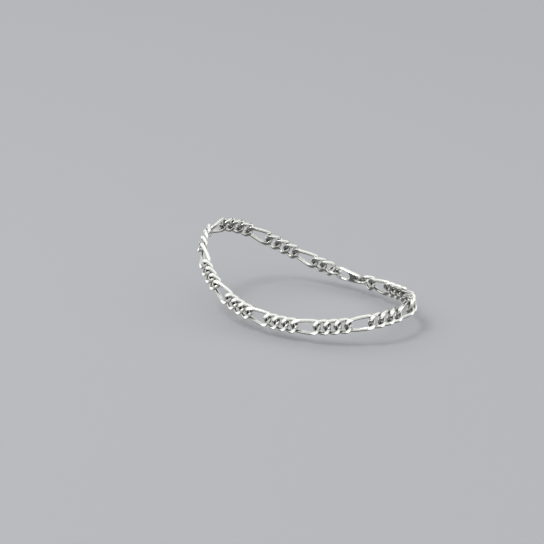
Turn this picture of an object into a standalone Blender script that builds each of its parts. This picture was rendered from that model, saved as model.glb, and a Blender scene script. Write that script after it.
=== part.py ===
"""Figaro chain anklet, in the form that it takes round an ankle.

The chain is a flat curb chain of oval links: one long link, then three short ones, over and over.
Each link is a closed wire, twisted about its length so that it lies flat in its neighbours.
A plain lobster clasp and two jump rings close the loop on the far side.

+X points to the heel, -X to the toes, -Y to the side that faces the viewer and +Z up the leg.
The origin is the middle of the loop, where the ankle goes through. All lengths are in metres.
"""

import math

import bmesh
import bpy
from mathutils import Matrix, Vector

# Chain
CHAIN_WIDTH = 0.0062
WIRE = 0.0015
LONG_LINK = 0.0125
SHORT_LINK = 0.00735
LINK_END_DEPTH = 0.0017
LINKS = 44
SHORT_LINKS_TOGETHER = 3
SHORT_LINKS_BEFORE_FIRST_LONG = 2

# Clearances: along the chain where two links hook into each other, between their crossing wires,
# and along the chain where a jump ring hooks into a link or the clasp
LINK_PLAY = 0.00025
CROSSING_GAP = 0.0005
RING_PLAY = 0.0004

# Jump rings
RING_DIAMETER = 0.0058
RING_WIRE = 0.0010

# Clasp: a flat body that narrows from the claw to the eye
CLASP_LENGTH = 0.0130
CLAW_WIDTH = 0.0056
EYE_WIDTH = 0.0040
CLASP_RIM = 0.0011
CLASP_THICKNESS = 0.0018
CLASP_EDGE_RADIUS = 0.0004
CLAW_SLOT_LENGTH = 0.0062

# Form of the loop round the ankle. Heights are from the loop's own mean level.
# The links set the loop's length, so these sizes give its proportions and the loop is closed to fit.
LOOP_DEPTH = 0.0935
LOOP_WIDTH = 0.0600
HEEL_HEIGHT = -0.0023
INSTEP_HEIGHT = 0.0144
INSTEP_PEAK = 0.0009
OVAL_POWER = 2.1

# Lean of the band's outer face, up from level, in degrees
LEAN_AT_HEEL = 8.0
LEAN_AT_SIDES = 7.0
LEAN_AT_INSTEP = 26.0

# Place of the clasp on the loop, in degrees from the heel by way of the far side
CLASP_ANGLE = 85.0

# Facets
SIDES_PER_LINK_END = 6
SIDES_PER_LINK_RAIL = 2
SIDES_PER_RING = 16
STEPS_PER_CLASP_ARC = 10

# Steps of each search for a place on the route, which halve its range every time
HALVINGS = 40

SILVER = (0.90, 0.89, 0.87, 1.0)


def clear_scene():
    for thing in list(bpy.data.objects):
        bpy.data.objects.remove(thing, do_unlink=True)


def new_collection(name):
    collection = bpy.data.collections.new(name)
    bpy.context.scene.collection.children.link(collection)
    return collection


def polished_metal(name, roughness):
    material = bpy.data.materials.new(name)
    material.use_nodes = True
    material.diffuse_color = SILVER
    shader = material.node_tree.nodes["Principled BSDF"]
    shader.inputs["Base Color"].default_value = SILVER
    shader.inputs["Metallic"].default_value = 1.0
    shader.inputs["Roughness"].default_value = roughness
    return material


def closed_wire(name, points, diameter, material):
    """A round wire whose two ends are joined, along the points."""
    curve = bpy.data.curves.new(name, "CURVE")
    curve.dimensions = "3D"
    curve.bevel_depth = diameter / 2
    curve.bevel_resolution = 1
    spline = curve.splines.new("POLY")
    spline.points.add(len(points) - 1)
    for point, place in zip(spline.points, points):
        point.co = (*place, 1.0)
    spline.use_cyclic_u = True
    curve.materials.append(material)
    return curve


def oval(length, width):
    """The corners of an oval with rounded ends and straight rails, in its own plane and in order."""
    half_width = width / 2
    rail = length / 2 - LINK_END_DEPTH
    corners = []
    for side in (1, -1):
        for step in range(SIDES_PER_LINK_END):
            angle = math.pi * (step / SIDES_PER_LINK_END - 0.5)
            along = rail + LINK_END_DEPTH * math.cos(angle)
            corners.append((side * along, side * half_width * math.sin(angle)))
        for step in range(SIDES_PER_LINK_RAIL):
            along = rail * (1 - 2 * step / SIDES_PER_LINK_RAIL)
            corners.append((side * along, side * half_width))
    return corners


def crossing_angle():
    """How far a link's plane has turned, where its wire crosses the next link's, to pass it with the gap."""
    depth = (WIRE + LINK_PLAY) / 2
    half_way_up = (CHAIN_WIDTH - WIRE) / 2 * math.sqrt(1 - (1 - depth / LINK_END_DEPTH) ** 2)
    return math.asin((WIRE + CROSSING_GAP) / (2 * half_way_up))


def link_curve(name, length, material):
    """One link: an oval wire, twisted evenly about its length, the left-handed way."""
    half = (length - WIRE) / 2
    turn_per_length = crossing_angle() / (half - (WIRE + LINK_PLAY) / 2)
    points = []
    for along, across in oval(length - WIRE, CHAIN_WIDTH - WIRE):
        turn = -turn_per_length * along
        points.append((along, across * math.cos(turn), across * math.sin(turn)))
    return closed_wire(name, points, WIRE, material)


def ring_curve(name, material):
    """One jump ring, which stands square to the band."""
    radius = (RING_DIAMETER - RING_WIRE) / 2
    points = []
    for step in range(SIDES_PER_RING):
        angle = 2 * math.pi * step / SIDES_PER_RING
        points.append((radius * math.cos(angle), 0.0, radius * math.sin(angle)))
    return closed_wire(name, points, RING_WIRE, material)


def arc(centre, radius, first, last, steps):
    """Points along an arc round a centre on the clasp's middle line, both ends included."""
    points = []
    for step in range(steps + 1):
        angle = first + (last - first) * step / steps
        points.append((centre + radius * math.cos(angle), radius * math.sin(angle)))
    return points


def clasp_outlines():
    """The clasp's rim, the slot in its claw and the hole in its eye, as flat closed outlines."""
    claw_radius = CLAW_WIDTH / 2
    eye_radius = EYE_WIDTH / 2
    claw = CLASP_LENGTH / 2 - claw_radius
    eye = eye_radius - CLASP_LENGTH / 2
    tangent = math.acos((eye_radius - claw_radius) / (claw - eye))
    rim = arc(claw, claw_radius, -tangent, tangent, STEPS_PER_CLASP_ARC)
    rim += arc(eye, eye_radius, tangent, 2 * math.pi - tangent, STEPS_PER_CLASP_ARC)
    slot_radius = claw_radius - CLASP_RIM
    slot_end = claw + 2 * slot_radius - CLAW_SLOT_LENGTH
    quarter = math.pi / 2
    slot = arc(claw, slot_radius, -quarter, quarter, STEPS_PER_CLASP_ARC)
    slot += arc(slot_end, slot_radius, quarter, 3 * quarter, STEPS_PER_CLASP_ARC)
    hole = arc(eye, eye_radius - CLASP_RIM, 0.0, 2 * math.pi, STEPS_PER_CLASP_ARC)[:-1]
    return rim, slot, hole


def clasp_mesh(name, material):
    """A plate with rounded edges, cut to the clasp's outlines, as a mesh with its caps joined."""
    curve = bpy.data.curves.new(name, "CURVE")
    curve.dimensions = "2D"
    curve.fill_mode = "BOTH"
    curve.extrude = CLASP_THICKNESS / 2 - CLASP_EDGE_RADIUS
    curve.bevel_depth = CLASP_EDGE_RADIUS
    curve.bevel_resolution = 1
    curve.offset = -CLASP_EDGE_RADIUS
    for outline in clasp_outlines():
        spline = curve.splines.new("POLY")
        spline.points.add(len(outline) - 1)
        for point, place in zip(spline.points, outline):
            point.co = (*place, 0.0, 1.0)
        spline.use_cyclic_u = True
    flat = bpy.data.objects.new(name + "_outline", curve)
    bpy.context.scene.collection.objects.link(flat)
    mesh = bpy.data.meshes.new_from_object(flat.evaluated_get(bpy.context.evaluated_depsgraph_get()))
    bpy.data.objects.remove(flat, do_unlink=True)
    mesh.name = name
    body = bmesh.new()
    body.from_mesh(mesh)
    bmesh.ops.remove_doubles(body, verts=body.verts, dist=0.00001)
    bmesh.ops.recalc_face_normals(body, faces=body.faces)
    body.to_mesh(mesh)
    body.free()
    mesh.materials.append(material)
    return mesh


def route(turn):
    """A point of the loop in its stated proportions, at an angle from the heel by way of the far side."""
    power = 2 / OVAL_POWER
    back = math.cos(turn)
    side = math.sin(turn)
    ends_above_sides = (INSTEP_HEIGHT + HEEL_HEIGHT) / 2 * math.cos(2 * turn)
    heel_below_instep = ((HEEL_HEIGHT - INSTEP_HEIGHT) / 2 + INSTEP_PEAK) * back
    return Vector(
        (
            LOOP_DEPTH / 2 * math.copysign(abs(back) ** power, back),
            LOOP_WIDTH / 2 * math.copysign(abs(side) ** power, side),
            ends_above_sides + heel_below_instep - INSTEP_PEAK * math.cos(3 * turn),
        )
    )


def lean(turn):
    """How far the band's outer face leans up at an angle round the loop, in radians."""
    ends = (LEAN_AT_HEEL + LEAN_AT_INSTEP) / 2
    degrees = (
        (ends + LEAN_AT_SIDES) / 2
        + (LEAN_AT_HEEL - LEAN_AT_INSTEP) / 2 * math.cos(turn)
        + (ends - LEAN_AT_SIDES) / 2 * math.cos(2 * turn)
    )
    return math.radians(degrees)


def next_turn(turn, span):
    """The angle whose point of the route lies a straight span further on."""
    start = route(turn)
    low = turn
    high = turn + math.pi / 2
    for _ in range(HALVINGS):
        middle = (low + high) / 2
        if (route(middle) - start).length < span:
            low = middle
        else:
            high = middle
    return high


def turns_of_joints(spans, scale):
    """The angles of the joints between the pieces, from the clasp all the way round to it again."""
    turns = [math.radians(CLASP_ANGLE)]
    for span in spans:
        turns.append(next_turn(turns[-1], span / scale))
    return turns


def closing_scale(spans):
    """The scale of the route at which the chain just goes round the loop and meets itself."""
    around = 2 * math.pi
    low = 0.5
    high = 2.0
    for _ in range(HALVINGS):
        middle = (low + high) / 2
        turns = turns_of_joints(spans, middle)
        if turns[-1] - turns[0] > around:
            low = middle
        else:
            high = middle
    return high


def inset(own_wire, other_wire, play):
    """How far a joint lies in from the end of a piece, half way between the two wires that hook there."""
    return own_wire / 2 + ((own_wire + other_wire) / 2 + play) / 2


def is_long(place):
    return place % (SHORT_LINKS_TOGETHER + 1) == SHORT_LINKS_BEFORE_FIRST_LONG


def chain_pieces(link_data, ring_data, clasp_data):
    """The pieces in their order round the loop: name, shape and the span between the piece's two joints."""
    ring_span = RING_DIAMETER - inset(RING_WIRE, WIRE, RING_PLAY) - inset(RING_WIRE, CLASP_RIM, RING_PLAY)
    clasp_span = CLASP_LENGTH - 2 * inset(CLASP_RIM, RING_WIRE, RING_PLAY)
    to_link = inset(WIRE, WIRE, LINK_PLAY)
    to_ring = inset(WIRE, RING_WIRE, RING_PLAY)
    pieces = [("lobster_clasp", clasp_data, clasp_span), ("end_ring", ring_data, ring_span)]
    counts = {"long_link": 0, "short_link": 0}
    for place in range(LINKS):
        kind = "long_link" if is_long(place) else "short_link"
        counts[kind] += 1
        curve, length = link_data[kind]
        start = to_ring if place == 0 else to_link
        end = to_ring if place == LINKS - 1 else to_link
        pieces.append((f"{kind}_{counts[kind]:02d}", curve, length - start - end))
    pieces.append(("clasp_ring", ring_data, ring_span))
    return pieces


def place_between(piece, turns, scale):
    """Lay a piece from joint to joint, its own X along the chain and its own Z out of the band."""
    start = route(turns[0]) * scale
    end = route(turns[1]) * scale
    along = (end - start).normalized()
    level_out = along.cross(Vector((0.0, 0.0, 1.0))).normalized()
    tilt = lean((turns[0] + turns[1]) / 2)
    out = level_out * math.cos(tilt) + Vector((0.0, 0.0, math.sin(tilt)))
    out = (out - along * out.dot(along)).normalized()
    up = out.cross(along)
    piece.matrix_world = Matrix.Translation((start + end) / 2) @ Matrix((along, up, out)).transposed().to_4x4()


def build_anklet():
    clear_scene()
    collection = new_collection("figaro_anklet")
    link_data = {
        "long_link": (link_curve("long_link", LONG_LINK, polished_metal("long_link_silver", 0.12)), LONG_LINK),
        "short_link": (link_curve("short_link", SHORT_LINK, polished_metal("short_link_silver", 0.12)), SHORT_LINK),
    }
    ring_data = ring_curve("jump_ring", polished_metal("ring_silver", 0.15))
    clasp_data = clasp_mesh("lobster_clasp", polished_metal("clasp_silver", 0.15))
    pieces = chain_pieces(link_data, ring_data, clasp_data)
    spans = [span for _, _, span in pieces]
    scale = closing_scale(spans)
    turns = turns_of_joints(spans, scale)
    for (name, data, _), joints in zip(pieces, zip(turns, turns[1:])):
        piece = bpy.data.objects.new(name, data)
        collection.objects.link(piece)
        place_between(piece, joints, scale)


build_anklet()
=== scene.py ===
"""Looks of the figaro chain anklet: polished silver links with flat faces, a clasp and its rings."""

import math

import bmesh
import bpy
import numpy as np
from mathutils import Matrix, Vector
from mathutils.geometry import delaunay_2d_cdt


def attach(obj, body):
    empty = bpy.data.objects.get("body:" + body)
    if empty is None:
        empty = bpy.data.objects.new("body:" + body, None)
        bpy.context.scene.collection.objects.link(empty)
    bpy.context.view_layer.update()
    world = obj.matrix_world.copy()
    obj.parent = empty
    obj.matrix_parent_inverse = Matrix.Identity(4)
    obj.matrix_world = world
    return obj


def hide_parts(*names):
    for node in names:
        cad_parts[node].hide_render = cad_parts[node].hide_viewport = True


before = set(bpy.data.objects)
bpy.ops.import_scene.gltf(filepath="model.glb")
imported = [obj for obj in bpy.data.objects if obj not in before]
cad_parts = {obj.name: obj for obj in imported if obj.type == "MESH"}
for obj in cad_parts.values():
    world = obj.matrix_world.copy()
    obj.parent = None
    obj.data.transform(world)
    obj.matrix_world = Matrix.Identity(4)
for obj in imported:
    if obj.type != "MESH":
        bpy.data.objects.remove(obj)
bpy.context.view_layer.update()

# Sizes of the chain, in metres, as in the part
CHAIN_WIDTH = 0.0062
WIRE = 0.0015
LONG_LINK = 0.0125
SHORT_LINK = 0.00735
LINK_END_DEPTH = 0.0017
LINK_PLAY = 0.00025
CROSSING_GAP = 0.0005
RING_DIAMETER = 0.0058
RING_WIRE = 0.0010
CLASP_LENGTH = 0.0130
CLAW_WIDTH = 0.0056
EYE_WIDTH = 0.0040
CLASP_RIM = 0.0011
CLASP_THICKNESS = 0.0018
CLASP_EDGE_RADIUS = 0.0004
CLAW_SLOT_LENGTH = 0.0062

# Faces pressed flat on the links: half the thickness left, and the softness of the flats' edges
HALF_THICKNESS = 0.00135
EDGE_SOFTNESS = 0.00003

# Fineness of the meshes
STATIONS_PER_END = 40
STATION_LENGTH = 0.00020
SIDES_OF_WIRE = 32
STEPS_PER_CLASP_ARC = 48
ROWS_OVER_CLASP_EDGE = 7
CLASP_GRID = 0.00020
MILLIMETRES = 1000

# Camera, at the photograph's place
CAMERA_AZIMUTH = 37.05
CAMERA_ELEVATION = 19.7
CAMERA_DISTANCE = 0.8
CAMERA_LENS = 132.15
CAMERA_SHIFT = (-0.0631, 0.0182)

FLOOR_LEVEL = -0.0125
FLOOR_HALF = 4.0

# The key light: azimuth and elevation in degrees, distance and side in metres, power in watts
KEY_AZIMUTH = -40
KEY_ELEVATION = 62
KEY_DISTANCE = 1.8
KEY_SIDE = 0.6
KEY_WATTS = 9.0

# The world as bands of linear colour, each with the heights of its lower and upper edge on a unit sphere
GROUND = (-1.00, -0.37, (0.15, 0.15, 0.15))
REFLECTOR = (-0.32, -0.05, (1.30, 1.30, 1.29))
HORIZON = (-0.02, 0.13, (0.40, 0.405, 0.39))
ROOM = (0.17, 0.34, (0.09, 0.09, 0.09))
TENT = (0.42, 1.00, (1.0, 1.0, 0.99))
WORLD_STRENGTH = 1.15
PAPER_COLOUR = (0.385, 0.39, 0.409, 1.0)

# Silver: linear colours of the painted shade where pieces nearly touch and of the open metal, how far the
# painted shade looks for another surface and by how many rays, and the openness at which it is full and gone
CONTACT_SHADE_COLOUR = (0.20, 0.20, 0.18, 1.0)
SILVER_COLOUR = (0.79, 0.795, 0.765, 1.0)
CONTACT_SHADE_REACH = 0.0009
CONTACT_SHADE_RAYS = 8
CONTACT_SHADE_FULL = 0.20
CONTACT_SHADE_GONE = 0.80

# Painted shade: the middle of a link is darkened and its rails are left bright, from its middle line outwards
MIDDLE_SHADE_WITHIN = 0.0013
MIDDLE_SHADE_GONE_BEYOND = 0.0019
MIDDLE_SHADE_SHARE = 0.70

# Unevenness of the polish: the roughness goes from least to most between two levels of a cloudy noise
SMOOTHEST = 0.06
ROUGHEST = 0.15
CLOUDS_PER_METRE = 900.0
CLOUD_DETAIL = 4.0
CLOUD_LOW = 0.3
CLOUD_HIGH = 0.7

# Fine scratches along the chain, as a bump
SCRATCHES_PER_METRE = 2500.0
SCRATCH_DETAIL = 3.0
SCRATCH_NARROWING = 6.0
SCRATCH_STRENGTH = 0.15
SCRATCH_DEPTH = 0.00002


bpy.context.scene.view_settings.view_transform = "Standard"


def new_object(name, data):
    thing = bpy.data.objects.new(name, data)
    bpy.context.scene.collection.objects.link(thing)
    return thing


def direction(azimuth, elevation):
    """The unit vector from the origin towards a place seen at these angles, azimuth 0 on the -Y side."""
    a = math.radians(azimuth)
    e = math.radians(elevation)
    return Vector((math.sin(a) * math.cos(e), -math.cos(a) * math.cos(e), math.sin(e)))


def make_camera():
    data = bpy.data.cameras.new("camera")
    data.lens = CAMERA_LENS
    data.shift_x, data.shift_y = CAMERA_SHIFT
    camera = new_object("camera", data)
    away = direction(CAMERA_AZIMUTH, CAMERA_ELEVATION)
    camera.location = away * CAMERA_DISTANCE
    camera.rotation_euler = away.to_track_quat("Z", "Y").to_euler()
    bpy.context.scene.camera = camera


def make_key_light():
    data = bpy.data.lights.new("key_light", "AREA")
    data.shape = "SQUARE"
    data.size = KEY_SIDE
    data.energy = KEY_WATTS
    light = new_object("key_light", data)
    away = direction(KEY_AZIMUTH, KEY_ELEVATION)
    light.location = away * KEY_DISTANCE
    light.rotation_euler = away.to_track_quat("Z", "Y").to_euler()


def make_world():
    """A bright tent over a dark room with a pale horizon, and a white reflector just below it."""
    world = bpy.data.worlds.new("studio")
    bpy.context.scene.world = world
    world.use_nodes = True
    nodes = world.node_tree.nodes
    links = world.node_tree.links
    background = nodes["Background"]
    coordinates = nodes.new("ShaderNodeTexCoord")
    axes = nodes.new("ShaderNodeSeparateXYZ")
    height = nodes.new("ShaderNodeMapRange")
    ramp = nodes.new("ShaderNodeValToRGB")
    height.inputs["From Min"].default_value = -1.0
    links.new(coordinates.outputs["Generated"], axes.inputs["Vector"])
    links.new(axes.outputs["Z"], height.inputs["Value"])
    links.new(height.outputs["Result"], ramp.inputs["Fac"])
    links.new(ramp.outputs["Color"], background.inputs["Color"])
    stops = ramp.color_ramp.elements
    stops[0].color = (*GROUND[2], 1.0)
    stops[1].color = (*TENT[2], 1.0)
    for lower, upper, colour in (GROUND, REFLECTOR, HORIZON, ROOM, TENT):
        for edge in (lower, upper):
            if abs(edge) < 1:
                stops.new((edge + 1) / 2).color = (*colour, 1.0)
    background.inputs["Strength"].default_value = WORLD_STRENGTH


def make_floor():
    """Pale paper under the object, which takes its shadow and doesn't show in its metal."""
    mesh = bpy.data.meshes.new("floor")
    body = bmesh.new()
    bmesh.ops.create_grid(body, x_segments=1, y_segments=1, size=FLOOR_HALF)
    body.to_mesh(mesh)
    body.free()
    floor = new_object("floor", mesh)
    floor.location.z = FLOOR_LEVEL
    material = bpy.data.materials.new("floor_paper")
    material.use_nodes = True
    shader = material.node_tree.nodes["Principled BSDF"]
    shader.inputs["Base Color"].default_value = PAPER_COLOUR
    shader.inputs["Roughness"].default_value = 1.0
    shader.inputs["Specular IOR Level"].default_value = 0.0
    mesh.materials.append(material)
    floor.visible_glossy = False


def silver(name):
    """Silver, unevenly polished and finely scratched, with painted shade in its middle and where pieces
    nearly touch.
    """
    material = bpy.data.materials.new(name)
    material.use_nodes = True
    nodes = material.node_tree.nodes
    links = material.node_tree.links
    shader = nodes["Principled BSDF"]
    shader.inputs["Metallic"].default_value = 1.0
    place = nodes.new("ShaderNodeTexCoord")
    chance = nodes.new("ShaderNodeObjectInfo")
    shift = nodes.new("ShaderNodeVectorMath")
    shift.operation = "ADD"
    links.new(place.outputs["Object"], shift.inputs[0])
    links.new(chance.outputs["Random"], shift.inputs[1])

    cloud = nodes.new("ShaderNodeTexNoise")
    cloud.inputs["Scale"].default_value = CLOUDS_PER_METRE
    cloud.inputs["Detail"].default_value = CLOUD_DETAIL
    links.new(shift.outputs["Vector"], cloud.inputs["Vector"])
    polish = nodes.new("ShaderNodeMapRange")
    polish.inputs["From Min"].default_value = CLOUD_LOW
    polish.inputs["From Max"].default_value = CLOUD_HIGH
    polish.inputs["To Min"].default_value = SMOOTHEST
    polish.inputs["To Max"].default_value = ROUGHEST
    links.new(cloud.outputs["Fac"], polish.inputs["Value"])
    links.new(polish.outputs["Result"], shader.inputs["Roughness"])

    # Painted shade: the silver's colour is darkened where another surface lies within reach, standing in for
    # the shade between pieces
    openness = nodes.new("ShaderNodeAmbientOcclusion")
    openness.samples = CONTACT_SHADE_RAYS
    openness.inputs["Distance"].default_value = CONTACT_SHADE_REACH
    contact_shade = nodes.new("ShaderNodeValToRGB")
    contact_shade.color_ramp.elements[0].position = CONTACT_SHADE_FULL
    contact_shade.color_ramp.elements[0].color = CONTACT_SHADE_COLOUR
    contact_shade.color_ramp.elements[1].position = CONTACT_SHADE_GONE
    contact_shade.color_ramp.elements[1].color = SILVER_COLOUR
    links.new(openness.outputs["AO"], contact_shade.inputs["Fac"])

    # Painted shade: the colour is darkened near each piece's middle line, standing in for the shade seen
    # between and through the wires
    axes = nodes.new("ShaderNodeSeparateXYZ")
    links.new(place.outputs["Object"], axes.inputs["Vector"])
    across = nodes.new("ShaderNodeMath")
    across.operation = "ABSOLUTE"
    links.new(axes.outputs["Y"], across.inputs[0])
    middle_shade = nodes.new("ShaderNodeMapRange")
    middle_shade.inputs["From Min"].default_value = MIDDLE_SHADE_WITHIN
    middle_shade.inputs["From Max"].default_value = MIDDLE_SHADE_GONE_BEYOND
    middle_shade.inputs["To Min"].default_value = MIDDLE_SHADE_SHARE
    links.new(across.outputs["Value"], middle_shade.inputs["Value"])
    shaded_colour = nodes.new("ShaderNodeVectorMath")
    shaded_colour.operation = "SCALE"
    links.new(contact_shade.outputs["Color"], shaded_colour.inputs[0])
    links.new(middle_shade.outputs["Result"], shaded_colour.inputs["Scale"])
    links.new(shaded_colour.outputs["Vector"], shader.inputs["Base Color"])

    stretch = nodes.new("ShaderNodeMapping")
    stretch.inputs["Scale"].default_value = (1.0, SCRATCH_NARROWING, SCRATCH_NARROWING)
    links.new(shift.outputs["Vector"], stretch.inputs["Vector"])
    scratches = nodes.new("ShaderNodeTexNoise")
    scratches.inputs["Scale"].default_value = SCRATCHES_PER_METRE
    scratches.inputs["Detail"].default_value = SCRATCH_DETAIL
    links.new(stretch.outputs["Vector"], scratches.inputs["Vector"])
    bump = nodes.new("ShaderNodeBump")
    bump.inputs["Strength"].default_value = SCRATCH_STRENGTH
    bump.inputs["Distance"].default_value = SCRATCH_DEPTH
    links.new(scratches.outputs["Fac"], bump.inputs["Height"])
    links.new(bump.outputs["Normal"], shader.inputs["Normal"])
    return material


def node_pose(name):
    """Where a CAD node lies: its middle and its three axes, longest spread first, from its own surface."""
    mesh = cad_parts[name].data
    mesh.calc_loop_triangles()
    points = np.empty(len(mesh.vertices) * 3)
    mesh.vertices.foreach_get("co", points)
    points = points.reshape(-1, 3)
    corners = np.empty(len(mesh.loop_triangles) * 3, int)
    mesh.loop_triangles.foreach_get("vertices", corners)
    triangles = points[corners.reshape(-1, 3)]
    edges = triangles[:, 1:] - triangles[:, :1]
    areas = np.linalg.norm(np.cross(edges[:, 0], edges[:, 1]), axis=1)
    middles = triangles.mean(axis=1)
    centroid = (middles * areas[:, None]).sum(axis=0) / areas.sum()
    spread = np.zeros((3, 3))
    for part, weight in ((triangles[:, 0], 1), (triangles[:, 1], 1), (triangles[:, 2], 1), (middles, 9)):
        offsets = part - centroid
        spread += weight * (offsets * areas[:, None]).T @ offsets
    axes = np.linalg.eigh(spread)[1][:, ::-1]
    reach = points @ axes
    centre = axes @ ((reach.min(axis=0) + reach.max(axis=0)) / 2)
    return Vector(centre), Vector(axes[:, 0]), Vector(axes[:, 1]), Vector(axes[:, 2])


def lay(piece, name, forward=None):
    """Put a piece on a CAD node: X along its longest spread, Z along its shortest and away from the loop."""
    centre, along, _, out = node_pose(name)
    if forward is None:
        forward = Vector((0.0, 0.0, 1.0)).cross(centre)
    if along.dot(forward) < 0:
        along.negate()
    if out.dot(centre) < 0:
        out.negate()
    turn = Matrix((along, out.cross(along), out)).transposed().to_4x4()
    piece.matrix_world = Matrix.Translation(centre) @ turn
    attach(piece, "root")
    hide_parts(name)


def oval_stations(length, width, end_depth):
    """Points along the middle of an oval wire, each with the direction out of the oval, in its own plane."""
    rail = length / 2 - end_depth
    rail_steps = round(2 * rail / STATION_LENGTH)
    stations = []
    for side in (1, -1):
        for step in range(STATIONS_PER_END):
            angle = math.pi * (step / STATIONS_PER_END - 0.5)
            along = math.cos(angle)
            across = math.sin(angle)
            point = Vector((rail + end_depth * along, width / 2 * across, 0.0))
            out = Vector((along * width / 2, across * end_depth, 0.0)).normalized()
            stations.append((side * point, side * out))
        for step in range(rail_steps):
            along = rail * (1 - 2 * step / rail_steps)
            stations.append((Vector((side * along, side * width / 2, 0.0)), Vector((0.0, side, 0.0))))
    return stations


def swept_ring(stations, diameter):
    """A closed round wire along stations of (point, outward direction), as a bmesh."""
    body = bmesh.new()
    rings = []
    count = len(stations)
    for index, (point, out) in enumerate(stations):
        ahead = stations[(index + 1) % count][0] - stations[index - 1][0]
        ahead.normalize()
        first = (out - ahead * out.dot(ahead)).normalized()
        second = ahead.cross(first)
        ring = []
        for step in range(SIDES_OF_WIRE):
            angle = 2 * math.pi * step / SIDES_OF_WIRE
            spot = point + (first * math.cos(angle) + second * math.sin(angle)) * (diameter / 2)
            ring.append(body.verts.new(spot))
        rings.append(ring)
    for index, ring in enumerate(rings):
        other = rings[(index + 1) % count]
        for step in range(SIDES_OF_WIRE):
            following = (step + 1) % SIDES_OF_WIRE
            body.faces.new((ring[step], other[step], other[following], ring[following]))
    return body


def finished_mesh(name, body, material):
    """A smooth mesh from a bmesh, its faces turned outwards."""
    bmesh.ops.recalc_face_normals(body, faces=body.faces)
    for face in body.faces:
        face.smooth = True
    mesh = bpy.data.meshes.new(name)
    body.to_mesh(mesh)
    body.free()
    mesh.materials.append(material)
    return mesh


def press_flat(body, normal, reach):
    """Press back what lies past a plane, and leave a slightly rounded edge round the flat."""
    for vert in body.verts:
        over = vert.co.dot(normal) - reach
        vert.co -= normal * (EDGE_SOFTNESS * math.log1p(math.exp(over / EDGE_SOFTNESS)))


def crossing_angle():
    """The turn of a link's plane where its wire crosses the next link's, as in the part."""
    depth = (WIRE + LINK_PLAY) / 2
    half_way_up = (CHAIN_WIDTH - WIRE) / 2 * math.sqrt(1 - (1 - depth / LINK_END_DEPTH) ** 2)
    return math.asin((WIRE + CROSSING_GAP) / (2 * half_way_up))


def link_mesh(name, length, material):
    """One link: an oval wire with a left-handed twist along it, its outer and inner faces pressed flat."""
    half = (length - WIRE) / 2
    turn_per_length = crossing_angle() / (half - (WIRE + LINK_PLAY) / 2)
    stations = []
    for point, out in oval_stations(length - WIRE, CHAIN_WIDTH - WIRE, LINK_END_DEPTH):
        twist = Matrix.Rotation(-turn_per_length * point.x, 3, "X")
        stations.append((twist @ point, twist @ out))
    body = swept_ring(stations, WIRE)
    for face in (1, -1):
        press_flat(body, Vector((0.0, 0.0, face)), HALF_THICKNESS)
    return finished_mesh(name, body, material)


def ring_mesh(name, material):
    """One jump ring, flat in its own plane."""
    across = RING_DIAMETER - RING_WIRE
    stations = oval_stations(across, across, across / 2)
    return finished_mesh(name, swept_ring(stations, RING_WIRE), material)


def arc(centre, radius, first, last):
    """Points along an arc round a centre on the clasp's middle line, both ends included."""
    angles = np.linspace(first, last, STEPS_PER_CLASP_ARC + 1)
    return np.column_stack((centre + radius * np.cos(angles), radius * np.sin(angles)))


def closed_line(arcs):
    """One closed outline through arcs, their ends joined by straight rows of points."""
    line = []
    for index, points in enumerate(arcs):
        start = points[-1]
        end = arcs[(index + 1) % len(arcs)][0]
        steps = round(float(np.linalg.norm(end - start)) / CLASP_GRID)
        line.append(points)
        line.append(start + (end - start) * (np.arange(1, steps) / steps)[:, None])
    return np.concatenate(line)


def clasp_outlines(inset):
    """The clasp's rim, the slot in its claw and the hole in its eye, all moved into the metal by an inset."""
    claw = (CLASP_LENGTH - CLAW_WIDTH) / 2
    eye = (EYE_WIDTH - CLASP_LENGTH) / 2
    tangent = math.acos((EYE_WIDTH - CLAW_WIDTH) / 2 / (claw - eye))
    rim = closed_line((
        arc(claw, CLAW_WIDTH / 2 - inset, -tangent, tangent),
        arc(eye, EYE_WIDTH / 2 - inset, tangent, 2 * math.pi - tangent),
    ))
    slot_width = CLAW_WIDTH - 2 * CLASP_RIM
    slot_end = claw + slot_width - CLAW_SLOT_LENGTH
    quarter = math.pi / 2
    slot = closed_line((
        arc(claw, slot_width / 2 + inset, -quarter, quarter),
        arc(slot_end, slot_width / 2 + inset, quarter, 3 * quarter),
    ))
    hole = arc(eye, EYE_WIDTH / 2 - CLASP_RIM + inset, 0.0, 2 * math.pi)[:-1]
    return rim, slot, hole


def inside(points, line):
    """Which of the points lie inside a closed outline."""
    x, y = points[:, :1], points[:, 1:]
    x1, y1 = line.T
    x2, y2 = np.roll(line, -1, axis=0).T
    crosses = (y1 > y) != (y2 > y)
    rise = np.where(y2 == y1, 1.0, y2 - y1)
    return np.sum(crosses & (x < x1 + (y - y1) * (x2 - x1) / rise), axis=1) % 2 == 1


def in_metal(points, outlines):
    rim, slot, hole = outlines
    return inside(points, rim) & ~inside(points, slot) & ~inside(points, hole)


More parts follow.
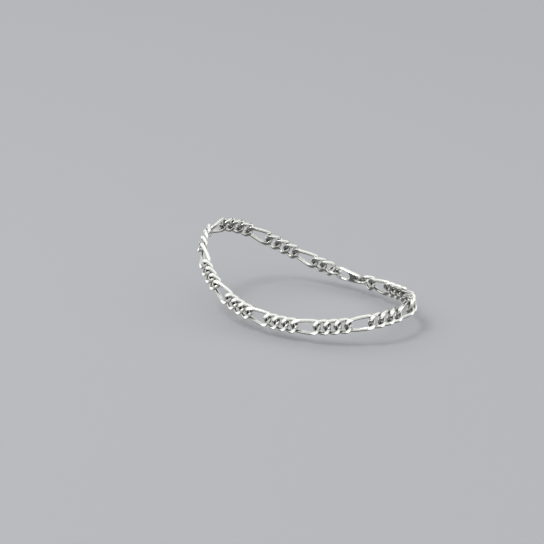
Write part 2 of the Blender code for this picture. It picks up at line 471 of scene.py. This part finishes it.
def clasp_mesh(name, material):
    """The plain clasp: a plate with a fully rounded rim, from rows of points that follow its outlines."""
    places = []
    heights = []
    edges = []
    for row in range(ROWS_OVER_CLASP_EDGE + 1):
        turn = math.pi / 2 * row / ROWS_OVER_CLASP_EDGE
        for line in clasp_outlines(CLASP_EDGE_RADIUS * (1 - math.cos(turn))):
            first = sum(map(len, places))
            edges += [(first + index, first + (index + 1) % len(line)) for index in range(len(line))]
            places.append(line)
            heights.append(np.full(len(line), CLASP_THICKNESS / 2 * math.sin(turn)))
    half_steps = round(CLASP_LENGTH / 2 / CLASP_GRID)
    steps = np.arange(-half_steps, half_steps + 1) * CLASP_GRID
    grid = np.stack(np.meshgrid(steps, steps), axis=-1).reshape(-1, 2)
    grid = grid[in_metal(grid, clasp_outlines(CLASP_EDGE_RADIUS + CLASP_GRID / 2))]
    places.append(grid)
    heights.append(np.full(len(grid), CLASP_THICKNESS / 2))
    heights = np.concatenate(heights)
    flat = [Vector(place) for place in np.concatenate(places) * MILLIMETRES]
    corners, _, faces, sources, _, _ = delaunay_2d_cdt(flat, edges, [], 0, 1e-6)
    spots = np.array([tuple(corner) for corner in corners]) / MILLIMETRES
    middles = np.array([spots[list(face)].mean(axis=0) for face in faces])
    kept = [face for face, keep in zip(faces, in_metal(middles, clasp_outlines(0.0))) if keep]
    body = bmesh.new()
    above = []
    below = []
    for spot, source in zip(spots, sources):
        height = heights[source[0]]
        above.append(body.verts.new((*spot, height)))
        below.append(body.verts.new((*spot, -height)) if height > 0 else above[-1])
    for face in kept:
        if any(above[corner] != below[corner] for corner in face):
            body.faces.new([above[corner] for corner in face])
            body.faces.new([below[corner] for corner in reversed(face)])
    return finished_mesh(name, body, material)


def main():
    make_camera()
    make_world()
    make_key_light()
    make_floor()
    metal = silver("polished_silver")
    shapes = {
        "long_link": link_mesh("long_link", LONG_LINK, metal),
        "short_link": link_mesh("short_link", SHORT_LINK, metal),
    }
    ring = ring_mesh("jump_ring", metal)
    for name in sorted(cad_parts):
        kind = name[:-3]
        if kind in shapes:
            lay(new_object("silver_" + name, shapes[kind]), name)
        elif name.endswith("ring"):
            lay(new_object("silver_" + name, ring), name)
    to_the_claw = node_pose("end_ring")[0] - node_pose("clasp_ring")[0]
    lay(new_object("silver_clasp", clasp_mesh("clasp", metal)), "lobster_clasp", to_the_claw)


main()
